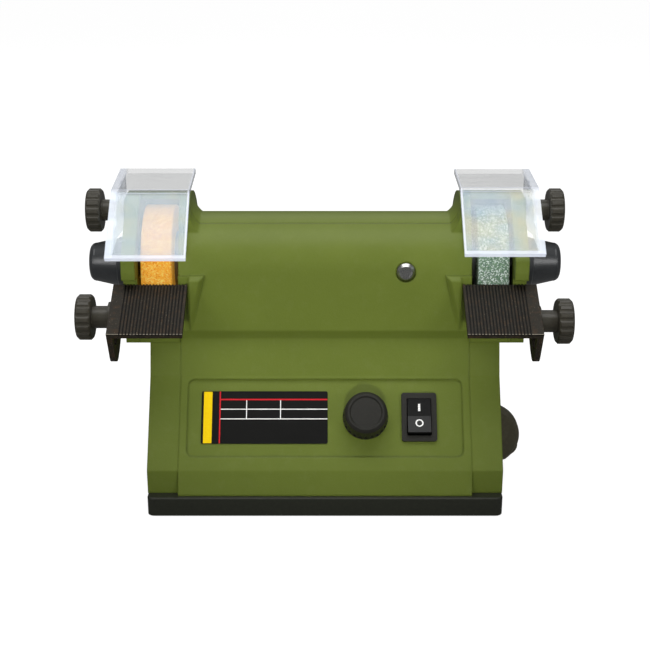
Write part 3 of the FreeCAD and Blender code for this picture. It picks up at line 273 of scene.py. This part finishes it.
def coated_rest():
    """Black satin coat: brownish rubbed rib tops, painted shade darkening the grooves between them, bright
    worn rib ends.
    """
    finish = Finish("black_rest_coat", specular_ior_level=0.3)
    _, y, z = finish.axes()
    cos, sin = math.cos(REST_TILT), math.sin(REST_TILT)
    back = (y - REST_EDGE.x) * cos + (z - REST_EDGE.y) * sin
    depth = (y - REST_EDGE.x) * sin - (z - REST_EDGE.y) * cos
    groove_shade = within(0.0 - depth, -GROOVE_START, 0.2 * MM) * within(depth, 1.6 * RIB_DEEP, 0.1 * MM)
    tip = within(back, TIP_LONG, 0.3 * MM) * within(depth, TIP_DEEP, 0.1 * MM)
    drift = finish.noise(7 * MM, 4.0, 0.6)
    pits = finish.noise(0.8 * MM, 3.0, 0.7)
    dust = finish.ramp(finish.noise(0.55 * MM, 2.0, 0.6), (0.66, 0.0), (0.74, 1.0))
    rust = finish.ramp(finish.noise(2.6 * MM, 3.0, 0.6), (0.5, 0.0), (0.7, 1.0))
    coat = finish.blend(drift, srgb(35, 31, 25), srgb(52, 47, 38))
    coat = finish.blend(rust * 0.35, coat, srgb(92, 66, 40))
    coat = finish.blend(dust * 0.55, coat, srgb(160, 150, 126))
    # Painted shade: the grooves between the ribs are darkened to near black.
    coat = finish.blend(groove_shade * 0.92, coat, srgb(7, 6, 5))
    finish.feed(Base_Color=finish.blend(tip * (0.35 + pits * 0.5), coat, srgb(190, 182, 162)),
                Roughness=0.50 + pits * 0.16)
    finish.bump(pits + drift * 0.4, 0.05 * MM, 0.12 * MM)
    return finish.material


def abrasive(name, bond, light_grain, dark_grain, grain_size, light_share, dark_share, painted_glow=0.0):
    """Vitrified wheel: packed grains that stand proud of the bond, each its own shade. It glows by the
    given strength, painted light.
    """
    finish = Finish(name, specular_ior_level=0.35, emission_strength=painted_glow)
    shade = finish.cells(grain_size, out="Color")
    tone = finish.axes(shade)[0]
    depth = finish.cells(grain_size)
    fine = finish.noise(grain_size * 0.7, 3.0, 0.7)
    light = finish.ramp(tone, (light_share, 0.0), (light_share + 0.12, 1.0))
    dark = finish.ramp(finish.axes(shade)[1], (dark_share, 0.0), (dark_share + 0.12, 1.0))
    body = finish.blend(fine, srgb(*(level * 0.88 for level in bond)), srgb(*bond))
    body = finish.blend(light * 0.85, body, srgb(*light_grain))
    body = finish.blend(dark * 0.7, body, srgb(*dark_grain))
    finish.feed(Base_Color=body, Emission_Color=body, Roughness=0.62 + tone * 0.3)
    finish.bump((1.0 - depth) * 0.8 + tone * 0.5 + fine * 0.5, 0.22 * MM)
    return finish.material


def metal(name, colour, roughness, lay, streak_size=0.5 * MM, dullness=0.25):
    """Bare metal with fine turning or brushing marks that run along the lay."""
    finish = Finish(name, metallic=1.0)
    streak = finish.noise(streak_size, 3.0, 0.7, finish.stretched(*lay))
    stain = finish.noise(6 * MM, 4.0, 0.6)
    dull = srgb(*(level * (1 - dullness) for level in colour))
    finish.feed(Base_Color=finish.blend(stain * 0.6 + streak * 0.3, srgb(*colour), dull),
                Roughness=roughness + streak * 0.16 + stain * 0.08)
    finish.bump(streak, 0.02 * MM)
    return finish.material


# Side profile of the visor about the spindle, as y, z: hinge, bend and lower front edge.
VISOR_HINGE = Vector((15.2, 19.3)) * MM
VISOR_BEND = Vector((-5.4, 33.4)) * MM
VISOR_LOW = Vector((-31.6, 11.2)) * MM
VISOR_THICK = 2.2 * MM
SPINDLE_Z = 95.6 * MM
RIGHT_LIFT = math.radians(2.5)
# Widths of the painted highlights on the cut edges and of the side flange's painted highlight band.
SIDE_EDGE = 1.1 * MM
LOW_EDGE = 2.1 * MM
BEND_EDGE = 0.9 * MM
BEND_MIDDLE = 0.6 * MM
FLANGE_BAND = VISOR_THICK + 1.4 * MM
# How opaque the white veil is on each part of a visor, from 0, clear, to 1: painted reflection on the
# front and top, painted highlights on the edges and flange. The last number is the strength of the painted
# glow of the front and flange.
FRONT_PAINTED_REFLECTION = 0.29
TOP_PAINTED_REFLECTION = 0.06
TOP_GRAZING_REFLECTION = 0.42
EDGE_PAINTED_HIGHLIGHT = 0.62
FLANGE_PAINTED_HIGHLIGHT = 0.50
VISOR_PAINTED_GLOW = 0.42


def lifted(point, lift):
    """A point of the visor's profile, with the visor swung up by lift, as y, z above the floor."""
    arm = Matrix.Rotation(-lift, 2) @ (point - VISOR_HINGE)
    return arm + VISOR_HINGE + Vector((0, SPINDLE_Z))


def clear_visor(name, side, lift, swirl_share):
    """Clear acrylic: a pale blue front under a glowing white veil of painted reflection, a paler top that
    turns grey and more opaque at grazing angles as a painted reflection, painted highlights on the cut
    edges and side flange, faint strain colours.
    """
    finish = Finish(name, specular_ior_level=0.5, ior=1.49, emission_strength=VISOR_PAINTED_GLOW)
    low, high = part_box(name)
    x, y, z = finish.axes()
    bend = lifted(VISOR_BEND, lift)
    fall = (lifted(VISOR_LOW, lift) - bend).normalized()
    front_long = (VISOR_LOW - VISOR_BEND).length
    down = (y - bend.x) * fall.x + (z - bend.y) * fall.y
    inward = x - low.x if side > 0 else high.x - x
    outward = high.x - x if side > 0 else x - low.x
    edge = within(inward, SIDE_EDGE, 0.5 * MM).most(within(front_long - down, LOW_EDGE, 0.7 * MM))
    edge = edge.most(within(abs(down + BEND_MIDDLE), BEND_EDGE, 0.5 * MM))
    flange = within(outward, FLANGE_BAND, 1.2 * MM)
    front = within(0 - down, 0.2 * MM, 1.5 * MM)
    streak = finish.noise(7 * MM, 4.0, 0.6, finish.stretched(0.35, 1.6, 1.6))
    cloud = finish.noise(16 * MM, 2.0)
    swirl = ((finish.noise(15 * MM, 1.0, 0.4) * 11 + down * 120).wave() * 0.5 + 0.5) ** 1.6
    tint = finish.blend(cloud, srgb(205, 222, 236), srgb(226, 235, 240))
    tint = finish.blend(swirl * front * swirl_share, tint, srgb(246, 226, 160))
    blue = finish.ramp(finish.noise(9 * MM, 2.0, 0.5), (0.5, 0.0), (0.68, 1.0))
    tint = finish.blend(blue * front * (0.25 + swirl_share * 0.5), tint, srgb(150, 188, 226))
    # The top is grey: together with its opacity at grazing angles below, a painted reflection.
    tint = finish.blend(1.0 - front, tint, srgb(158, 161, 162))
    # Painted highlights: the cut edges and the side flange are made near white.
    tint = finish.blend(edge.most(flange * 0.6), tint, srgb(226, 231, 243))
    slant = finish.node("ShaderNodeLayerWeight", {}, 0.5, out="Facing")
    # Painted reflection: a white veil on the front, and on the top one that thickens at grazing angles;
    # streaks vary it. The veil is thicker still on the edges and flange as painted highlights.
    painted_reflection = FRONT_PAINTED_REFLECTION * front + (TOP_PAINTED_REFLECTION + slant * TOP_GRAZING_REFLECTION) * (1.0 - front) + streak * 0.10 - 0.05
    painted_veil = painted_reflection.most(edge * EDGE_PAINTED_HIGHLIGHT).most(flange * (FLANGE_PAINTED_HIGHLIGHT + streak * 0.2))
    # Painted glow: the front and the side flange glow in the veil's colour.
    painted_glow = finish.blend(front.most(flange * (0.5 + streak * 0.5)), srgb(0, 0, 0), tint)
    finish.feed(Base_Color=tint, Emission_Color=painted_glow, Alpha=painted_veil.clamped(),
                Roughness=0.05 + streak * 0.08)
    finish.bump(cloud + streak * 0.05, 0.05 * MM)
    return finish.material


WIRE_PITCH = 0.45 * MM


def wire_enamel():
    """Enamelled copper wire laid in even turns, with painted highlights on the turns and painted shade
    between them.
    """
    finish = Finish("copper_winding", metallic=0.9)
    turns = (finish.axes()[0] * (2 * math.pi / WIRE_PITCH)).wave() * 0.5 + 0.5
    stain = finish.noise(3 * MM, 3.0)
    # Painted light: each turn is lighter on its crest and darker between turns, plus random stains.
    painted_turn_light_and_stain = turns * 0.6 + stain * 0.3
    finish.feed(Base_Color=finish.blend(painted_turn_light_and_stain, srgb(118, 56, 24), srgb(205, 122, 66)),
                Roughness=0.25 + stain * 0.2)
    finish.bump(turns, 0.15 * MM)
    return finish.material


def board_laminate():
    """Green circuit board with darker copper runs under the lacquer."""
    finish = Finish("board_laminate", coat_weight=0.4, coat_roughness=0.2)
    runs = finish.ramp(finish.cells(3.5 * MM, "DISTANCE_TO_EDGE"), (0.06, 1.0), (0.1, 0.0))
    weave = finish.noise(0.6 * MM, 2.0)
    body = finish.blend(runs * 0.8, srgb(28, 84, 52), srgb(54, 118, 66))
    finish.feed(Base_Color=finish.blend(weave * 0.2, body, srgb(80, 130, 90)),
                Roughness=0.4 + weave * 0.15)
    finish.bump(runs + weave * 0.2, 0.03 * MM)
    return finish.material


FINISHES = {
    "green_housing": moulded_green(),
    "black_plastic": moulded_black("brownish_black_moulding", (58, 55, 46), 0.38, 0.6 * MM, 0.05 * MM),
    "cap_plastic": moulded_black("grained_end_cap", (46, 48, 50), 0.30, 0.8 * MM, 0.07 * MM, coat=1.0),
    "base_plastic": moulded_black("base_moulding", (36, 38, 29), 0.50, 0.7 * MM, 0.05 * MM),
    "rocker_plastic": rocker_gloss(),
    "label": plate_film(),
    "rest_coating": coated_rest(),
    # The orange wheel is given a faint glow: painted light.
    "orange_abrasive": abrasive("orange_stone", (250, 176, 56), (255, 208, 104), (206, 122, 26),
                                0.42 * MM, 0.66, 0.72, painted_glow=0.26),
    "green_abrasive": abrasive("green_stone", (136, 170, 138), (240, 250, 244), (66, 104, 84),
                               0.42 * MM, 0.58, 0.62),
    "steel": metal("turned_steel", (168, 168, 166), 0.30, (6, 1, 1)),
    "bright_screw": metal("bright_screw", (222, 222, 220), 0.16, (3, 3, 3)),
    "brass": metal("turned_brass", (208, 172, 96), 0.28, (6, 1, 1)),
    "copper": wire_enamel(),
    "magnet": moulded_black("sintered_magnet", (52, 52, 55), 0.62, 0.4 * MM, 0.05 * MM),
    "carbon": moulded_black("carbon_block", (30, 30, 32), 0.55, 0.3 * MM, 0.04 * MM),
    "outlet_black": moulded_black("outlet_moulding", (76, 72, 57), 0.45, 0.6 * MM, 0.05 * MM),
    "dial_black": moulded_black("dial_moulding", (32, 31, 26), 0.48, 0.6 * MM, 0.05 * MM),
    "rubber": moulded_black("soft_rubber", (26, 26, 26), 0.72, 0.5 * MM, 0.05 * MM),
    "board": board_laminate(),
    "components": moulded_black("component_case", (36, 38, 46), 0.34, 0.5 * MM, 0.02 * MM),
}
# Nodes whose finish isn't the one of their slot.
NODE_FINISHES = {
    "speed_knob": FINISHES["dial_black"],
    "switch_body": FINISHES["dial_black"],
    "cord_outlet": FINISHES["outlet_black"],
    "left_visor": clear_visor("left_visor", -1, 0.0, 0.12),
    "right_visor": clear_visor("right_visor", 1, RIGHT_LIFT, 0.38),
}

for part in frame["record"]["subparts"]:
    thing = frame["nodes"][part["node"]]
    finish = NODE_FINISHES.get(part["node"]) or FINISHES[part["material_slot"]]
    thing.data.materials.clear()
    thing.data.materials.append(finish)

EASED_EDGES = {"guard_cover": 0.8 * MM, "visor": 0.45 * MM}
for side, _ in SIDES:
    for kind, width in EASED_EDGES.items():
        ease = frame["nodes"]["%s_%s" % (side, kind)].modifiers.new("eased_edges", "BEVEL")
        ease.width = width
        ease.segments = 3
        ease.limit_method = "ANGLE"
        ease.angle_limit = math.radians(50)


# ---- printed marks -----------------------------------------------------------------------------
PANEL_TILT = math.radians(36)
PANEL_UP = Vector((0, math.sin(PANEL_TILT), math.cos(PANEL_TILT)))
PANEL_OUT = Vector((0, -math.cos(PANEL_TILT), math.sin(PANEL_TILT)))
PANEL_RIGHT = Vector((1, 0, 0))
PRINT_THICK = 0.04 * MM
PROBE_START = 20 * MM


def strip(left, right, low, high):
    """A flat strip as its four corners, right and up from the middle of the part it lies on."""
    return [(left, low), (right, low), (right, high), (left, high)]


def loop_points(radius, count=48):
    """Evenly spaced points of a circle."""
    return [(radius * math.cos(2 * math.pi * index / count),
             radius * math.sin(2 * math.pi * index / count)) for index in range(count)]


def printed(name, node, body, ink, strips, rings=()):
    """Thin ink film laid on a part's front face. A ring is (up, outer radius, inner radius)."""
    low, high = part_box(node)
    middle = (low + high) / 2
    part = bmesh.new()
    part.from_mesh(frame["nodes"][node].data)
    face = BVHTree.FromBMesh(part)
    part.free()
    ink_mesh = bmesh.new()

    def row(points, lift):
        """Points dropped on the part's face, then raised by lift."""
        made = []
        for right, up in points:
            start = middle + PANEL_RIGHT * right + PANEL_UP * up + PANEL_OUT * PROBE_START
            spot = face.ray_cast(start, -PANEL_OUT)[0]
            made.append(ink_mesh.verts.new(spot + PANEL_OUT * lift))
        return made

    def film(outer, inner=None):
        """A closed film over an outline, or over the ring between two outlines."""
        rows = [row(outer, -PRINT_THICK), row(outer, PRINT_THICK)]
        if inner:
            rows += [row(inner, PRINT_THICK), row(inner, -PRINT_THICK), rows[0]]
        for below, above in zip(rows, rows[1:]):
            for index in range(len(outer)):
                after = (index + 1) % len(outer)
                ink_mesh.faces.new((below[index], below[after], above[after], above[index]))
        if not inner:
            ink_mesh.faces.new(rows[1])
            ink_mesh.faces.new(rows[0][::-1])

    for corners in strips:
        film(corners)
    for up, outer, inner in rings:
        film(*([(u, v + up) for u, v in loop_points(radius)] for radius in (outer, inner)))
    bmesh.ops.recalc_face_normals(ink_mesh, faces=ink_mesh.faces)
    made = bpy.data.objects.new(name, bpy.data.meshes.new(name))
    ink_mesh.to_mesh(made.data)
    ink_mesh.free()
    bpy.context.scene.collection.objects.link(made)
    made.data.materials.append(ink)
    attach(made, body)


PLATE_WIDE = 53.9 * MM
PLATE_HIGH = 22.8 * MM


def on_plate(left, right, top, bottom):
    """A strip of the rating plate, given as shares of its width and, from the top, of its height."""
    return strip((left - 0.5) * PLATE_WIDE, (right - 0.5) * PLATE_WIDE,
                 (0.5 - bottom) * PLATE_HIGH, (0.5 - top) * PLATE_HIGH)


white_ink = print_ink("white_print", (255, 255, 252))
red_ink = print_ink("red_print", (214, 34, 44))
yellow_ink = print_ink("yellow_print", (255, 214, 0))
printed("plate_yellow_bar", "rating_plate", "housing", yellow_ink, [on_plate(0.018, 0.085, 0.01, 0.99)])
printed("plate_red_rules", "rating_plate", "housing", red_ink,
        [on_plate(0.142, 0.152, 0.005, 0.995), on_plate(0.152, 0.998, 0.145, 0.172)])
printed("plate_white_rules", "rating_plate", "housing", white_ink,
        [on_plate(0.152, 0.998, 0.335, 0.352), on_plate(0.152, 0.998, 0.520, 0.537),
         on_plate(0.354, 0.361, 0.172, 0.335), on_plate(0.354, 0.361, 0.352, 0.520),
         on_plate(0.623, 0.630, 0.172, 0.335), on_plate(0.623, 0.630, 0.352, 0.520)])
printed("rocker_on_mark", "switch_rocker", "rocker", white_ink,
        [strip(-0.45 * MM, 0.45 * MM, 2.1 * MM, 5.2 * MM)])
printed("rocker_off_mark", "switch_rocker", "rocker", white_ink, [],
        [(-3.2 * MM, 1.7 * MM, 1.15 * MM)])


# ---- floor, light and camera -------------------------------------------------------------------
FLOOR_HALF = 30.0
FLOOR_GLOW = 0.94
WORLD_GLOW = 0.13
BARREL = (0, -0.01, 0.11)
LENS_LONG = 72.55
CAMERA_PLACE = (0, -0.5494, 0.2660)
CAMERA_TILT = math.radians(70)


def floor_sheet():
    """Wide pale floor with a barely visible mottle."""
    mesh = bmesh.new()
    bmesh.ops.create_grid(mesh, x_segments=8, y_segments=8, size=FLOOR_HALF)
    made = bpy.data.objects.new("floor", bpy.data.meshes.new("floor"))
    mesh.to_mesh(made.data)
    mesh.free()
    bpy.context.scene.collection.objects.link(made)
    finish = Finish("pale_floor", roughness=0.8, specular_ior_level=0.1, emission_strength=FLOOR_GLOW,
                    emission_color=(1, 1, 1, 1))
    mottle = finish.noise(0.3, 3.0)
    finish.feed(Base_Color=finish.blend(mottle, (0.33, 0.33, 0.33, 1), (0.36, 0.36, 0.36, 1)))
    made.data.materials.append(finish.material)
    made.visible_diffuse = False
    made.visible_glossy = False


def hung(lamp, place, aim):
    """A lamp's object at place, facing aim."""
    made = bpy.data.objects.new(lamp.name, lamp)
    made.location = place
    made.rotation_euler = (Vector(place) - Vector(aim)).to_track_quat("Z", "Y").to_euler()
    bpy.context.scene.collection.objects.link(made)
    return made


def soft_box(name, place, wide, high, brightness):
    """Rectangular soft box that faces the barrel. Brightness is the radiance of its sheet."""
    lamp = bpy.data.lights.new(name, "AREA")
    lamp.shape = "RECTANGLE"
    lamp.size = wide
    lamp.size_y = high
    lamp.energy = brightness * math.pi * wide * high
    hung(lamp, place, BARREL)


def barrel_spot(place, aim, cone, watts):
    """Narrow soft spot on the barrel, which adds a little light and no reflection."""
    lamp = bpy.data.lights.new("barrel_spot", "SPOT")
    lamp.spot_size = math.radians(cone)
    lamp.spot_blend = 1.0
    lamp.shadow_soft_size = 0.12
    lamp.energy = watts
    hung(lamp, place, aim).visible_glossy = False


def studio():
    """Weak even light all round, four soft boxes and a spot."""
    world = bpy.data.worlds.new("studio")
    world.use_nodes = True
    backdrop = world.node_tree.nodes["Background"]
    backdrop.inputs["Color"].default_value = (1.0, 1.0, 1.0, 1)
    backdrop.inputs["Strength"].default_value = WORLD_GLOW
    bpy.context.scene.world = world
    soft_box("overhead_box", (0, -0.12, 0.62), 0.60, 0.34, 2.7)
    soft_box("left_box", (-0.55, -0.72, 0.36), 0.24, 0.34, 4.4)
    soft_box("right_box", (0.55, -0.72, 0.36), 0.24, 0.34, 4.2)
    soft_box("rear_box", (0, 0.75, 0.85), 0.90, 0.40, 1.6)
    barrel_spot((0, -1.10, 0.20), (0, -0.01, 0.120), 7.0, 112.0)


def front_camera():
    """A long lens in front of the machine, looking 20 degrees down."""
    lens = bpy.data.cameras.new("front_camera")
    lens.lens = LENS_LONG
    lens.sensor_width = 36
    lens.clip_start = 0.01
    made = bpy.data.objects.new("front_camera", lens)
    made.location = CAMERA_PLACE
    made.rotation_euler = (CAMERA_TILT, 0, 0)
    bpy.context.scene.collection.objects.link(made)
    bpy.context.scene.camera = made


floor_sheet()
studio()
front_camera()
bpy.context.scene.view_settings.view_transform = "Standard"


def corners(box):
    """A box as plain lists of numbers."""
    return [[float(value) for value in corner] for corner in box]
